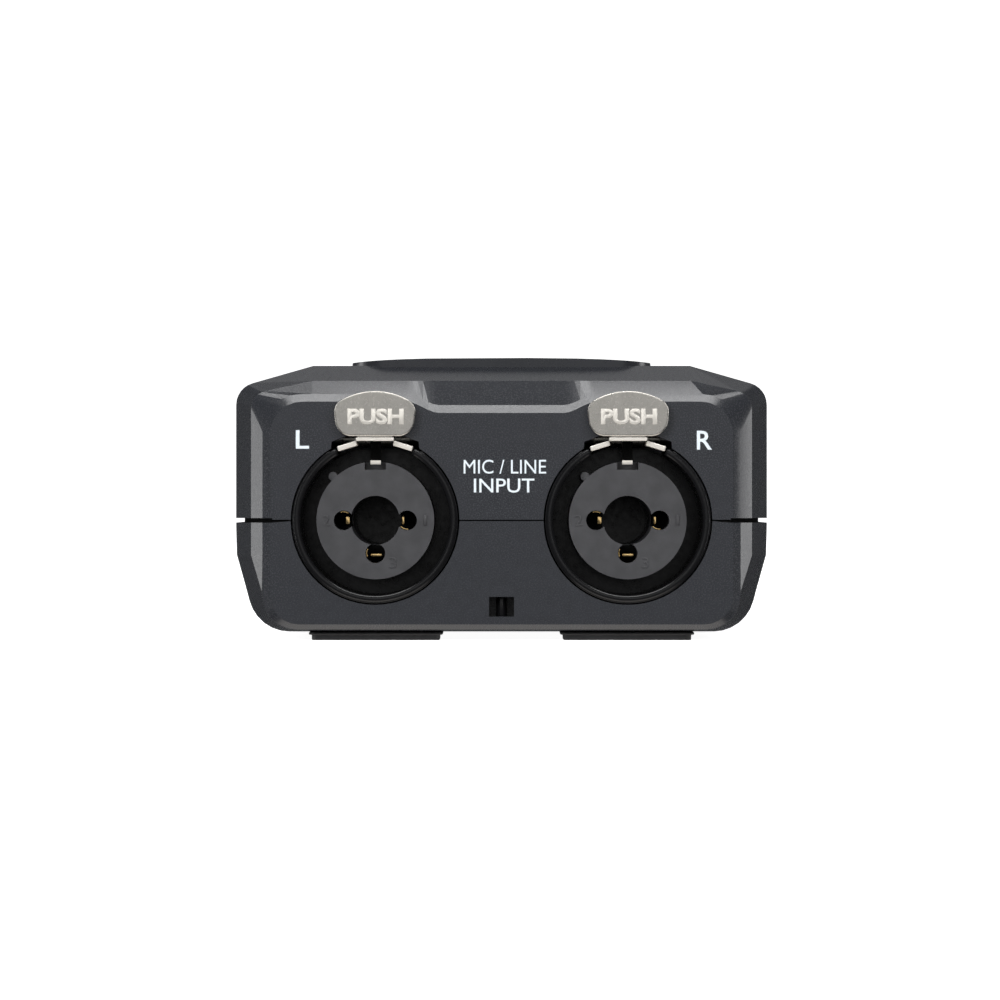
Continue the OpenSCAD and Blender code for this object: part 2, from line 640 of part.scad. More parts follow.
module latch(s) color([0.72, 0.70, 0.67]) at_jack(s) difference() {
    union() {
        along_y(-tab_stand, 0.5 - tab_stand) polygon(tab_outline());
        block([-2.57, -tab_stand, 10.66], [2.57, 0, 11.2]);
        along_y(-0.4, 8.2)
            polygon([[-5.08, 9.8], [-4.9, 9.22], [-2.22, 10.01], [-2.1, 10.4],
                     [2.1, 10.4], [2.22, 10.01], [4.9, 9.22], [5.08, 9.8],
                     [2.6, 10.55], [2.57, 11.1], [-2.57, 11.1], [-2.6, 10.55]]);
        block([-0.7, 3, 7.4], [0.7, 3.6, 10.8]);
        rod_x(-4.5, 4.5, latch_pivot[0], latch_pivot[1], 1.25);
    }
    rod_x(-6, 6, latch_pivot[0], latch_pivot[1], latch_pin_r + run_gap);
}

module latch_pins() color([0.7, 0.7, 0.7]) for (s = [-1, 1]) at_jack(s)
    rod_x(-8, 8, latch_pivot[0], latch_pivot[1], latch_pin_r);

// ---- Microphones; each is drawn along +X from its pivot and turned inwards by 45 degrees ----

module at_mic(s) translate([s * pivot_x, pivot_y, mic_z]) rotate(s < 0 ? 45 : 135) children();

module turret(s) color([0.11, 0.115, 0.125]) at_mic(s) difference() {
    union() {
        rod_z(-slot_h + 0.25, slot_h - 0.25, 0, 0, turret_r);
        rod_z(-slot_h - wall - 0.3, slot_h + wall + 0.3, 0, 0, pivot_pin_r);
        rod_x(4, 10.5, 0, 0, 6);
    }
    difference() {
        rod_x(6, 12, 0, 0, mic_r);
        rod_x(5, 12, 0, 0, 6);
    }
}

module mic_sleeve(s) color([0.16, 0.165, 0.175]) at_mic(s) difference() {
    rod_x(6, 16.2, 0, 0, mic_r);
    rod_x(5, 17, 0, 0, 6);
}

module mic_grille(s) color([0.35, 0.35, 0.36]) at_mic(s) difference() {
    union() {
        rod_x(16.2, mic_tip, 0, 0, mic_r);
        translate([mic_tip - eps, 0, 0]) rotate([0, 90, 0])
            cylinder(h = 1 + eps, r1 = mic_r, r2 = mic_r - 1.05);
    }
    rod_x(16, mic_tip + 0.2, 0, 0, mic_r - 0.8);
}

module mic_capsule(s) color([0.6, 0.6, 0.58]) at_mic(s) {
    rod_x(10.5, 18, 0, 0, 5.6);
    rod_x(17.9, 18.6, 0, 0, 4.8);
}

front_housing();
rear_housing();
face_plate();
display_window();
lcd_module();
lcd_glass();
key_board();
key_switches();
main_board();
board_chips();
jack_board();
stop_key();
record_key();
play_key();
up_key();
down_key();
back_key();
forward_key();
enter_key();
menu_key();
mixer_key();
mark_key();
volume_rocker();
level_rocker();
power_slider();
input_slider();
phones_jack();
usb_port();
card_door();
card_socket();
memory_card();
battery_cover();
battery_tray();
batteries();
battery_springs();
battery_contacts();
speaker();
tripod_insert();
rubber_feet();
case_screws();
status_lamp();
strap_pin();
jack_shell(-1);  // left_jack_shell
jack_shell(1);  // right_jack_shell
jack_bases();
jack_insert(-1);  // left_jack_insert
jack_insert(1);  // right_jack_insert
socket_contacts();
plug_springs();
latch(-1);  // left_latch
latch(1);  // right_latch
latch_pins();
turret(-1);  // left_turret
turret(1);  // right_turret
mic_sleeve(-1);  // left_mic_sleeve
mic_sleeve(1);  // right_mic_sleeve
mic_grille(-1);  // left_mic_grille
mic_grille(1);  // right_mic_grille
mic_capsule(-1);  // left_mic_capsule
mic_capsule(1);  // right_mic_capsule
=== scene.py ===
"""The looks of the portable field recorder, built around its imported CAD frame.

Everything is in metres in the frame's own axes: +Z is up through the display face, and -Y is out of the
connector end.
"""

import math

import bmesh
import bpy
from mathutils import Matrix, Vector


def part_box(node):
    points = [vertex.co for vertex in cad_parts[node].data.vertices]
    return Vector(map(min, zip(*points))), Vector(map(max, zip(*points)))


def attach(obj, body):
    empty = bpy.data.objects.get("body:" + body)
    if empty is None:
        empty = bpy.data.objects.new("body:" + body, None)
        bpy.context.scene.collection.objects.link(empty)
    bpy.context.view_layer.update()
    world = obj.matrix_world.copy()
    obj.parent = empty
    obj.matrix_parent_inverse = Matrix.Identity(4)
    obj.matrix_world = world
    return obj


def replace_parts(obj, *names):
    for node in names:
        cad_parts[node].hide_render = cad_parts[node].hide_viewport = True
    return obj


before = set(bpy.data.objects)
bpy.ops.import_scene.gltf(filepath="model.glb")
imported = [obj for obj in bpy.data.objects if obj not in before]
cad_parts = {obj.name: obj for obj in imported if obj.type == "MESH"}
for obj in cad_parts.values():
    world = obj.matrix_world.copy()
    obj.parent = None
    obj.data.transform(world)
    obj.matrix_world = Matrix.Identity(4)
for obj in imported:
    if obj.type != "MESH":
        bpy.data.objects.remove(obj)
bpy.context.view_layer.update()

MM = 0.001
RECORDER = "recorder"
SIDES = {"left": -1, "right": 1}


def centre_of(node):
    low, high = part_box(node)
    return (low + high) / 2


FACE_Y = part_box("front_housing")[0].y                # the end panel's face
TAB_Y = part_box("left_latch")[0].y                    # the front of the latch tabs
JACKS = {side: centre_of(f"{side}_jack_insert") for side in SIDES}
KEY_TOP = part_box("enter_key")[1].z - 0.06 * MM       # key caps stop just short of the CAD keys' tops
WHITE_PRINT_RAISE = 0.012 * MM


# ---- Materials ----

def new_material(name):
    """A material with its node tree and its shader."""
    material = bpy.data.materials.new(name)
    material.use_nodes = True
    return material, material.node_tree, material.node_tree.nodes["Principled BSDF"]


def noise_node(tree, size_mm, detail=3.0, stretch=(1, 1, 1)):
    """A noise texture in object coordinates whose blobs are about size_mm across."""
    coords = tree.nodes.new("ShaderNodeTexCoord")
    mapping = tree.nodes.new("ShaderNodeMapping")
    mapping.inputs["Scale"].default_value = stretch
    noise = tree.nodes.new("ShaderNodeTexNoise")
    noise.inputs["Scale"].default_value = 1 / (size_mm * MM)
    noise.inputs["Detail"].default_value = detail
    tree.links.new(coords.outputs["Object"], mapping.inputs["Vector"])
    tree.links.new(mapping.outputs["Vector"], noise.inputs["Vector"])
    return noise.outputs["Fac"]


def ramp_node(tree, factor, low_colour, high_colour, start=0.35, end=0.65):
    ramp = tree.nodes.new("ShaderNodeValToRGB")
    ramp.color_ramp.elements[0].position = start
    ramp.color_ramp.elements[1].position = end
    ramp.color_ramp.elements[0].color = (*low_colour, 1)
    ramp.color_ramp.elements[1].color = (*high_colour, 1)
    tree.links.new(factor, ramp.inputs["Fac"])
    return ramp.outputs["Color"]


def range_node(tree, factor, low, high):
    remap = tree.nodes.new("ShaderNodeMapRange")
    remap.inputs["From Min"].default_value = 0.3
    remap.inputs["From Max"].default_value = 0.7
    remap.inputs["To Min"].default_value = low
    remap.inputs["To Max"].default_value = high
    tree.links.new(factor, remap.inputs["Value"])
    return remap.outputs["Result"]


ROUGH_SPREAD = 0.05


def surface(name, colour, rough, metal=0.0, mottle=0.06, mottle_mm=5.0, grain_mm=0.2, grain_depth_mm=0.004,
            stretch=(1, 1, 1), specular=0.5):
    """A moulded, cast or plated surface: faint colour variation, uneven gloss and a fine grain."""
    material, tree, shader = new_material(name)
    broad = noise_node(tree, mottle_mm, 4.0, stretch)
    darker = tuple(c * (1 - mottle) for c in colour)
    lighter = tuple(c * (1 + mottle) for c in colour)
    tree.links.new(ramp_node(tree, broad, darker, lighter), shader.inputs["Base Color"])
    fine = noise_node(tree, mottle_mm / 6, 3.0, stretch)
    gloss = range_node(tree, fine, rough - ROUGH_SPREAD, rough + ROUGH_SPREAD)
    tree.links.new(gloss, shader.inputs["Roughness"])
    shader.inputs["Metallic"].default_value = metal
    shader.inputs["Specular IOR Level"].default_value = specular
    if grain_depth_mm:
        bump = tree.nodes.new("ShaderNodeBump")
        bump.inputs["Distance"].default_value = grain_depth_mm * MM
        tree.links.new(noise_node(tree, grain_mm, 2.0, stretch), bump.inputs["Height"])
        tree.links.new(bump.outputs["Normal"], shader.inputs["Normal"])
    return material


def clear_surface(name, colour, rough):
    material, tree, shader = new_material(name)
    shader.inputs["Base Color"].default_value = (*colour, 1)
    shader.inputs["Transmission Weight"].default_value = 1.0
    shader.inputs["IOR"].default_value = 1.49
    tree.links.new(range_node(tree, noise_node(tree, 3), rough, rough + 0.02), shader.inputs["Roughness"])
    return material


housing = surface("housing", (0.0195, 0.021, 0.025), 0.26, mottle=0.07, mottle_mm=1.2,
                  grain_mm=0.16, grain_depth_mm=0.006)
face_black = surface("face_black", (0.016, 0.017, 0.02), 0.3, grain_mm=0.3, grain_depth_mm=0.002)
connector_black = surface("connector_black", (0.0045, 0.0045, 0.005), 0.24, grain_mm=0.12,
                          grain_depth_mm=0.002, specular=0.3)
insert_grey = surface("insert_grey", (0.044, 0.044, 0.047), 0.34, mottle=0.12, mottle_mm=2,
                      grain_mm=0.11, grain_depth_mm=0.005)
nickel = surface("nickel", (0.60, 0.575, 0.53), 0.30, metal=1.0, mottle=0.04, mottle_mm=2,
                 grain_mm=0.06, grain_depth_mm=0.0015)
# A lighter, less metallic copy of nickel, as painted highlight: the latch's raised letters, arm, wings and
# hook tip stand brighter than the tab.
painted_highlight_nickel = surface("painted_highlight_nickel", (0.90, 0.86, 0.79), 0.40, metal=0.65, mottle=0.03, mottle_mm=1,
                        grain_mm=0.05, grain_depth_mm=0.001)
# Near-black and matt: painted shade, put in the parting groove, deep in the contact holes and on the latch
# hook's stem.
shadow_black = surface("shadow_black", (0.002, 0.002, 0.002), 0.8, grain_mm=0.2, grain_depth_mm=0.002,
                       specular=0.1)
gold = surface("gold", (0.88, 0.62, 0.28), 0.22, metal=1.0, mottle_mm=1, grain_mm=0.08,
               grain_depth_mm=0.001)
steel = surface("steel", (0.56, 0.56, 0.56), 0.32, metal=1.0, mottle_mm=2, grain_mm=0.05,
                grain_depth_mm=0.001, stretch=(1, 6, 1))
white_print = surface("white_print", (0.66, 0.72, 0.77), 0.5, mottle=0.04, mottle_mm=0.6,
                      grain_mm=0.08, grain_depth_mm=0.001)
rubber = surface("rubber", (0.018, 0.018, 0.019), 0.7, mottle=0.12, mottle_mm=2, grain_mm=0.12,
                 grain_depth_mm=0.01)
key_cap = surface("key_cap", (0.040, 0.042, 0.047), 0.5, mottle=0.05, mottle_mm=3, grain_mm=0.1,
                  grain_depth_mm=0.004)
record_red = surface("record_red", (0.42, 0.018, 0.014), 0.35, mottle=0.06, mottle_mm=3, grain_mm=0.1,
                     grain_depth_mm=0.002)
control_black = surface("control_black", (0.020, 0.021, 0.024), 0.5, grain_mm=0.1, grain_depth_mm=0.005)
lamp_red = surface("lamp_red", (0.40, 0.012, 0.01), 0.2, grain_mm=0.3, grain_depth_mm=0.0005)
screw_black = surface("screw_black", (0.03, 0.03, 0.032), 0.34, metal=0.7, grain_mm=0.08,
                      grain_depth_mm=0.002)
brass = surface("brass", (0.72, 0.52, 0.24), 0.28, metal=1.0, mottle_mm=2, grain_mm=0.06,
                grain_depth_mm=0.002, stretch=(1, 1, 8))
turret_black = surface("turret_black", (0.022, 0.023, 0.026), 0.4, grain_mm=0.14, grain_depth_mm=0.004)
mic_metal = surface("mic_metal", (0.075, 0.077, 0.084), 0.34, metal=0.9, mottle_mm=2, grain_mm=0.07,
                    grain_depth_mm=0.003)
grille_wire = surface("grille_wire", (0.30, 0.30, 0.31), 0.32, metal=1.0, mottle_mm=1, grain_mm=0.05,
                      grain_depth_mm=0.001)
foam_black = surface("foam_black", (0.012, 0.012, 0.012), 0.9, grain_mm=0.3, grain_depth_mm=0.05)
capsule_metal = surface("capsule_metal", (0.55, 0.55, 0.52), 0.35, metal=1.0, grain_mm=0.06,
                        grain_depth_mm=0.001)
board_green = surface("board_green", (0.012, 0.10, 0.035), 0.35, mottle=0.2, mottle_mm=1.5, grain_mm=0.5,
                      grain_depth_mm=0.004)
chip_black = surface("chip_black", (0.02, 0.02, 0.022), 0.5, grain_mm=0.1, grain_depth_mm=0.003)
cell_wrap = surface("cell_wrap", (0.22, 0.24, 0.27), 0.3, metal=0.6, mottle=0.1, mottle_mm=8)
tray_black = surface("tray_black", (0.022, 0.022, 0.025), 0.5)
speaker_black = surface("speaker_black", (0.02, 0.02, 0.02), 0.6, grain_mm=0.2, grain_depth_mm=0.02)
lcd_frame = surface("lcd_frame", (0.045, 0.045, 0.048), 0.5)
lcd_face = surface("lcd_face", (0.40, 0.45, 0.33), 0.25, mottle=0.03, mottle_mm=12, grain_mm=0.3,
                   grain_depth_mm=0.0005)
lcd_ink = surface("lcd_ink", (0.030, 0.036, 0.040), 0.4, mottle=0.1, mottle_mm=1, grain_depth_mm=0)
lens = clear_surface("lens", (0.80, 0.83, 0.85), 0.02)


# ---- Mesh helpers ----

PLANES = {
    "front": lambda u, v, w: (u, w, v),       # drawn in x and z, thick along y
    "top": lambda u, v, w: (u, v, w),         # drawn in x and y, thick along z
    "side": lambda u, v, w: (w, u, v),        # drawn in y and z, thick along x
}


def piece(name, mesh, material, body, smooth=True):
    """A new object of that mesh which moves with a CAD body."""
    obj = bpy.data.objects.new(name, mesh)
    bpy.context.scene.collection.objects.link(obj)
    mesh.materials.clear()
    mesh.materials.append(material)
    for polygon in mesh.polygons:
        polygon.use_smooth = smooth
    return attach(obj, body)


def to_mesh(bm, name):
    bmesh.ops.remove_doubles(bm, verts=bm.verts, dist=1e-8)
    bmesh.ops.recalc_face_normals(bm, faces=bm.faces)
    mesh = bpy.data.meshes.new(name)
    bm.to_mesh(mesh)
    bm.free()
    return mesh


def add_prism(bm, outline, plane, low, high):
    """Adds outline, given in its plane, as a solid from low to high across it."""
    place = PLANES[plane]
    near = [bm.verts.new(place(u, v, low)) for u, v in outline]
    far = [bm.verts.new(place(u, v, high)) for u, v in outline]
    bm.faces.new(near)
    bm.faces.new(far)
    for i in range(len(outline)):
        j = (i + 1) % len(outline)
        bm.faces.new((near[i], near[j], far[j], far[i]))


def round_edges(obj, radius, segments=3, angle=30):
    """Rounds the sharp edges and evens the shading across the flats."""
    bevel = obj.modifiers.new("edges", "BEVEL")
    bevel.width = radius
    bevel.segments = segments
    bevel.limit_method = "ANGLE"
    bevel.angle_limit = math.radians(angle)
    bevel.use_clamp_overlap = True
    bevel.miter_outer = "MITER_ARC"
    normals = obj.modifiers.new("normals", "WEIGHTED_NORMAL")
    normals.keep_sharp = False
    return obj


def prisms(name, outlines, plane, low, high, material, body, radius=0.0, segments=3):
    bm = bmesh.new()
    for outline in outlines:
        add_prism(bm, outline, plane, low, high)
    obj = piece(name, to_mesh(bm, name), material, body, smooth=radius > 0)
    if radius:
        round_edges(obj, radius, segments)
    return obj


def lettering(name, words, centre, size, plane, low, high, material, body, bold=0.0, radius=0.0):
    """words as a thin solid, fitted to size = (width, height) about centre in its plane."""
    curve = bpy.data.curves.new(name, "FONT")
    curve.body = words
    curve.offset = bold
    curve.extrude = 0.5
    curve.resolution_u = 4
    holder = bpy.data.objects.new(name, curve)
    bpy.context.scene.collection.objects.link(holder)
    bpy.context.view_layer.update()
    mesh = bpy.data.meshes.new_from_object(holder.evaluated_get(bpy.context.evaluated_depsgraph_get()))
    bpy.data.objects.remove(holder)
    bpy.data.curves.remove(curve)
    lows = [min(v.co[k] for v in mesh.vertices) for k in range(3)]
    spans = [max(v.co[k] for v in mesh.vertices) - lows[k] for k in range(3)]
    place = PLANES[plane]
    for v in mesh.vertices:
        u, t, w = ((v.co[k] - lows[k]) / spans[k] for k in range(3))
        v.co = place(centre[0] + (u - 0.5) * size[0], centre[1] + (t - 0.5) * size[1],
                     low + w * (high - low))
    bm = bmesh.new()
    bm.from_mesh(mesh)
    bpy.data.meshes.remove(mesh)
    obj = piece(name, to_mesh(bm, name), material, body, smooth=False)
    if radius:
        round_edges(obj, radius, 2)
    return obj


def arc(centre, radius, start, end, steps):
    """Points of an arc, with its angles in degrees."""
    return [(centre[0] + radius * math.cos(math.radians(start + (end - start) * i / steps)),
             centre[1] + radius * math.sin(math.radians(start + (end - start) * i / steps)))
            for i in range(steps + 1)]


def rounded_box(centre, width, height, radius, steps=6):
    (cx, cy), w, h = centre, width / 2 - radius, height / 2 - radius
    return [p for k, (sx, sy) in enumerate(((1, 1), (-1, 1), (-1, -1), (1, -1)))
            for p in arc((cx + sx * w, cy + sy * h), radius, 90 * k, 90 * k + 90, steps)]


# ---- CAD nodes that keep their own shape ----

SAME_SPOT = 2e-6                                     # vertices closer than this are one
PIERCED = ("rear_housing", "battery_cover")          # nodes whose flats have holes through them
SQUARE_ON = 0.97                                     # least normal component of a face square to an axis


def mark_edges(mesh, is_crisp):
    """Sets a bevel weight on each edge that is_crisp accepts.

    is_crisp takes the turn between the edge's two faces in degrees, the narrower face's width across the
    edge, and the edge's two ends.
    """
    def spot(index):
        return tuple(round(c / SAME_SPOT) for c in mesh.vertices[index].co)

    sides = {}
    for polygon in mesh.polygons:
        for a, b in polygon.edge_keys:
            length = (mesh.vertices[a].co - mesh.vertices[b].co).length
            sides.setdefault(frozenset((spot(a), spot(b))), []).append(
                (polygon.normal.copy(), 2 * polygon.area / max(length, 1e-9)))
    weights = mesh.attributes.new("bevel_weight_edge", "FLOAT", "EDGE")
    for edge in mesh.edges:
        a, b = edge.vertices
        found = sides.get(frozenset((spot(a), spot(b))), [])
        if len(found) == 2:
            turn = math.degrees(found[0][0].angle(found[1][0], 0))
            narrow = min(found[0][1], found[1][1])
            if is_crisp(turn, narrow, mesh.vertices[a].co, mesh.vertices[b].co):
                weights.data[edge.index].value = 1.0


def keep_square_flats(mesh):
    """Seams on every upright or level triangle, so that flats with holes aren't merged into one face."""
    square_on = {key for polygon in mesh.polygons if max(map(abs, polygon.normal)) > SQUARE_ON
                 for key in polygon.edge_keys}
    for edge in mesh.edges:
        if edge.key in square_on:
            edge.use_seam = True


def dress(node, material, radius_mm=0.0, segments=3, is_crisp=None):
    """Gives a CAD node its finish, and rounded edges where a radius is stated."""
    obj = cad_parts[node]
    obj.data.materials.clear()
    obj.data.materials.append(material)
    if is_crisp:
        mark_edges(obj.data, is_crisp)
    weld = obj.modifiers.new("weld", "WELD")
    weld.merge_threshold = SAME_SPOT
    if radius_mm:
        flats = obj.modifiers.new("flats", "DECIMATE")
        flats.decimate_type = "DISSOLVE"
        flats.angle_limit = math.radians(1.0)
        if node in PIERCED:
            keep_square_flats(obj.data)
            flats.delimit = {"SEAM"}
        round_edges(obj, radius_mm * MM, segments)
        if is_crisp:
            obj.modifiers["edges"].limit_method = "WEIGHT"


def paint_where(node, material, is_inside):
    """A second material on the faces of a CAD node whose centres pass is_inside."""
    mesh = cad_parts[node].data
    mesh.materials.append(material)
    for polygon in mesh.polygons:
        if is_inside(polygon.center):
            polygon.material_index = 1


def between_flats(turn, narrow, start, end):
    """Crisp where two broad faces meet or the turn is large; the facets of a rounded corner stay smooth."""
    return turn > 14 or (turn > 5 and narrow > 1.2 * MM)


def round_rim(turn, narrow, start, end):
    """The connector's round rim, which stands just in front of the panel."""
    return turn > 30 and max(start.y, end.y) < FACE_Y - 0.2 * MM


# node, finish, edge radius in mm, and where they differ from the usual, segments and the rule for its edges
DRESSED = [
    ("front_housing", housing, 0.16, 3, between_flats), ("rear_housing", housing, 0.16, 3, between_flats),
    ("battery_cover", housing, 0.15), ("card_door", housing, 0.12),
    ("face_plate", face_black, 0.2), ("display_window", lens, 0.15),
    ("lcd_module", lcd_frame, 0.1), ("lcd_glass", lcd_face, 0.05),
    ("key_board", board_green, 0.05), ("main_board", board_green, 0.05), ("jack_board", board_green, 0.05),
    ("board_chips", chip_black, 0.08), ("key_switches", steel, 0.05),
    ("volume_rocker", control_black, 0.25), ("level_rocker", control_black, 0.25),
    ("power_slider", control_black, 0.1), ("input_slider", control_black, 0.1),
    ("phones_jack", connector_black, 0.15), ("usb_port", steel, 0.06),
    ("card_socket", steel, 0.08), ("memory_card", chip_black, 0.08),
    ("battery_tray", tray_black, 0.1), ("batteries", cell_wrap, 0.3),
    ("battery_springs", steel, 0.0), ("battery_contacts", steel, 0.08),
    ("speaker", speaker_black, 0.2), ("tripod_insert", brass, 0.15),
    ("rubber_feet", rubber, 0.12), ("case_screws", screw_black, 0.07),
    # The strap pin takes the connector's near-black plastic in place of steel, so it stands dark in the
    # strap hole as painted shade.
    ("status_lamp", lamp_red, 0.2), ("strap_pin", connector_black, 0.05),
    ("left_jack_shell", connector_black, 0.5, 5, round_rim),
    ("right_jack_shell", connector_black, 0.5, 5, round_rim),
    ("jack_bases", connector_black, 0.15),
    ("left_jack_insert", insert_grey, 0.2), ("right_jack_insert", insert_grey, 0.2),
    ("plug_springs", nickel, 0.05), ("latch_pins", steel, 0.05),
    ("left_turret", turret_black, 0.2), ("right_turret", turret_black, 0.2),
    ("left_mic_sleeve", mic_metal, 0.15), ("right_mic_sleeve", mic_metal, 0.15),
    ("left_mic_capsule", capsule_metal, 0.15), ("right_mic_capsule", capsule_metal, 0.15),
]
for finish in DRESSED:
    dress(*finish)
PARTING_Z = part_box("rear_housing")[1].z
GROOVE_HALF = 0.32 * MM
# Painted shade: the faces in the parting groove between the two housings are near-black.
for node in ("front_housing", "rear_housing"):
    paint_where(node, shadow_black, lambda centre: abs(centre.z - PARTING_Z) < GROOVE_HALF)


# ---- Connector end: printed legends, latches and numbered inserts ----

def front_print(name, words, x_mm, z_mm, width_mm, height_mm, bold=0.012):
    lettering(name, words, (x_mm * MM, z_mm * MM), (width_mm * MM, height_mm * MM), "front",
              FACE_Y - WHITE_PRINT_RAISE, FACE_Y + 0.05 * MM, white_print, RECORDER, bold)


front_print("legend_left", "L", -26.3, 26.6, 1.75, 2.45)
front_print("legend_right", "R", 26.8, 26.5, 2.0, 2.5)
front_print("legend_upper_line", "MIC / LINE", 0.45, 23.0, 10.9, 1.85, 0.0)
front_print("legend_lower_line", "INPUT", 0.35, 20.5, 8.0, 1.85, 0.004)


def tab_outline(cx, cz):
    """The thumb tab: round corners between straight flanks and an arched top."""
    flank, foot, corner_r, arch_r, arch_z = 5.36, 11.1, 1.9, 9.0, 8.07
    lower_r, lower_inset = 2.2, 2.3
    corner_x = flank - corner_r
    corner_z = arch_z + math.sqrt((arch_r - corner_r) ** 2 - corner_x ** 2)
    join = math.degrees(math.atan2(corner_z - arch_z, corner_x))
    lower = (arc((lower_inset - flank, foot + lower_r), lower_r, 180, 270, 8)
             + arc((flank - lower_inset, foot + lower_r), lower_r, 270, 360, 8))
    right = arc((corner_x, corner_z), corner_r, 0, join, 6)
    top = arc((0, arch_z), arch_r, join, 180 - join, 16)[1:-1]
    left = [(-x, z) for x, z in reversed(right)]
    return [(cx + x * MM, cz + z * MM) for x, z in lower + right + top + left]


def build_latch(side):
    """The sprung lever: thumb tab, the arm it is bent from, two wings, the hook and the hinge barrel."""
    body, (cx, _, cz) = f"{side}_latch", JACKS[side]
    plate_front, plate_back = TAB_Y + 0.15 * MM, TAB_Y + 0.62 * MM

    def box(x0, x1, z0, z1):
        return [(cx + x * MM, cz + z * MM) for x, z in ((x0, z0), (x1, z0), (x1, z1), (x0, z1))]

    def part(name, outlines, y0, y1, material, radius_mm, segments=3):
        prisms(f"{side}_latch_{name}", outlines, "front", FACE_Y + y0 * MM, FACE_Y + y1 * MM,
               material, body, radius_mm * MM, segments)

    tab = prisms(f"{side}_latch_tab", [tab_outline(cx, cz)], "front", plate_front, plate_back,
                 nickel, body, 0.22 * MM, 5)
    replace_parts(tab, body)
    # The letters, arm, wings and hook tip take the lighter copy of nickel, which paints their highlights
    # in.
    lettering(f"{side}_latch_legend", "PUSH", (cx + 0.1 * MM, cz + 13.7 * MM), (7.4 * MM, 2.1 * MM),
              "front", TAB_Y, plate_front + 0.05 * MM, painted_highlight_nickel, body, 0.045, radius=0.025 * MM)
    part("crease", [box(-2.3, 2.3, 10.8, 11.5)], -1.34, -1.2, nickel, 0.03)
    part("arm", [box(-2.52, 2.52, 10.5, 10.95)], -1.6, 8.6, painted_highlight_nickel, 0.08)
    inner_x, inner_z = 2.42, 10.22
    outer_x, outer_z = 4.95, 9.44
    half_x, half_z = 0.09, 0.32
    wings = []
    for s in (-1, 1):
        wings.append([(cx + s * x * MM, cz + z * MM) for x, z in (
            (inner_x - half_x, inner_z - half_z), (outer_x - half_x, outer_z - half_z),
            (outer_x + half_x, outer_z + half_z), (inner_x + half_x, inner_z + half_z))])
    part("wings", wings, -0.4, 8.2, painted_highlight_nickel, 0.12, 4)
    part("hook", [box(-0.7, 0.7, 7.4, 7.96)], 3, 3.6, painted_highlight_nickel, 0.05)
    # The hook's stem is painted shade: near-black above the lit tip.
    part("hook_stem", [box(-0.68, 0.68, 7.9, 10.7)], 3.1, 3.6, shadow_black, 0.05)
    ring = arc((FACE_Y + 9 * MM, cz + 10.9 * MM), 1.25 * MM, 0, 337.5, 15)
    prisms(f"{side}_latch_barrel", [ring], "side", cx - 4.5 * MM, cx + 4.5 * MM, nickel, body, 0.1 * MM)


# in mm and degrees: each contact hole's place from the connector's axis, its leaf's centre from there, the
# leaf's size, and the direction of its bright rim
CONTACTS = [
    ((-4.2, 0), (0.5, 0), (0.5, 0.95), 85),
    ((4.2, 0), (-0.55, 0), (0.28, 1.0), 250),
    ((0, -4.35), (0.08, -0.25), (1.45, 0.32), 178),
]
BORE_CLEAR = 3.4 * MM                                # the blocks stay this far from the axis
HOLE_R = 1.28 * MM
RIM_OUT, RIM_IN, RIM_HALF_ANGLE = 1.27 * MM, 1.08 * MM, 28


def build_contacts(side):
    """A gold leaf and a sliver of gold rim in each of the three holes, in front of a near-black block that
    is painted shade deep in the hole.
    """
    cx, _, cz = JACKS[side]
    blocks, leaves, rims = [], [], []
    for (x, z), (leaf_x, leaf_z), (leaf_w, leaf_h), toward in CONTACTS:
        outline = []
        for u, w in arc((x * MM, z * MM), HOLE_R, 0, 345, 23):
            grow = max(1.0, BORE_CLEAR / math.hypot(u, w))
            outline.append((cx + u * grow, cz + w * grow))
        blocks.append(outline)
        leaves.append(rounded_box((cx + (x + leaf_x) * MM, cz + (z + leaf_z) * MM),
                                  leaf_w * MM, leaf_h * MM, 0.1 * MM, 3))
        centre = (cx + x * MM, cz + z * MM)
        rims.append(arc(centre, RIM_OUT, toward - RIM_HALF_ANGLE, toward + RIM_HALF_ANGLE, 8)
                    + arc(centre, RIM_IN, toward + RIM_HALF_ANGLE, toward - RIM_HALF_ANGLE, 8))

    def part(name, outlines, y0, y1, material, radius_mm=0.0):
        return prisms(f"{side}_contact_{name}", outlines, "front", FACE_Y + y0 * MM, FACE_Y + y1 * MM,
                      material, RECORDER, radius_mm * MM, 2)

    # Painted shade: near-black blocks fill the holes from 6 mm in.
    part("blocks", blocks, 6, 13.5, shadow_black)
    part("rims", rims, 2.2, 6.2, gold, 0.05)
    return part("leaves", leaves, 3.2, 6.2, gold, 0.08)


# each digit, its place from the connector's axis and its width, in mm
DIGITS = [("2", -6.5, 0, 0.95), ("1", 6.6, 0, 0.45), ("3", 2.3, -5.6, 0.95)]
DIGIT_HEIGHT = 1.45 * MM


def number_insert(side):
    """The raised numbers beside the three contact holes."""
    cx, _, cz = JACKS[side]
    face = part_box(f"{side}_jack_insert")[0].y
    for digit, x, z, width in DIGITS:
        lettering(f"{side}_insert_digit_{digit}", digit, (cx + x * MM, cz + z * MM),
                  (width * MM, DIGIT_HEIGHT), "front", face - 0.16 * MM, face + 0.05 * MM, insert_grey,
                  RECORDER, radius=0.06 * MM)


BEAD_R, BEAD_HALF_WIDTH, BEAD_RISE = 10.38 * MM, 0.5 * MM, 0.5 * MM
BEAD_Y = FACE_Y - 0.05 * MM
BEAD_GAP_DEGREES = 29                                # on each side of the top, where the latch is


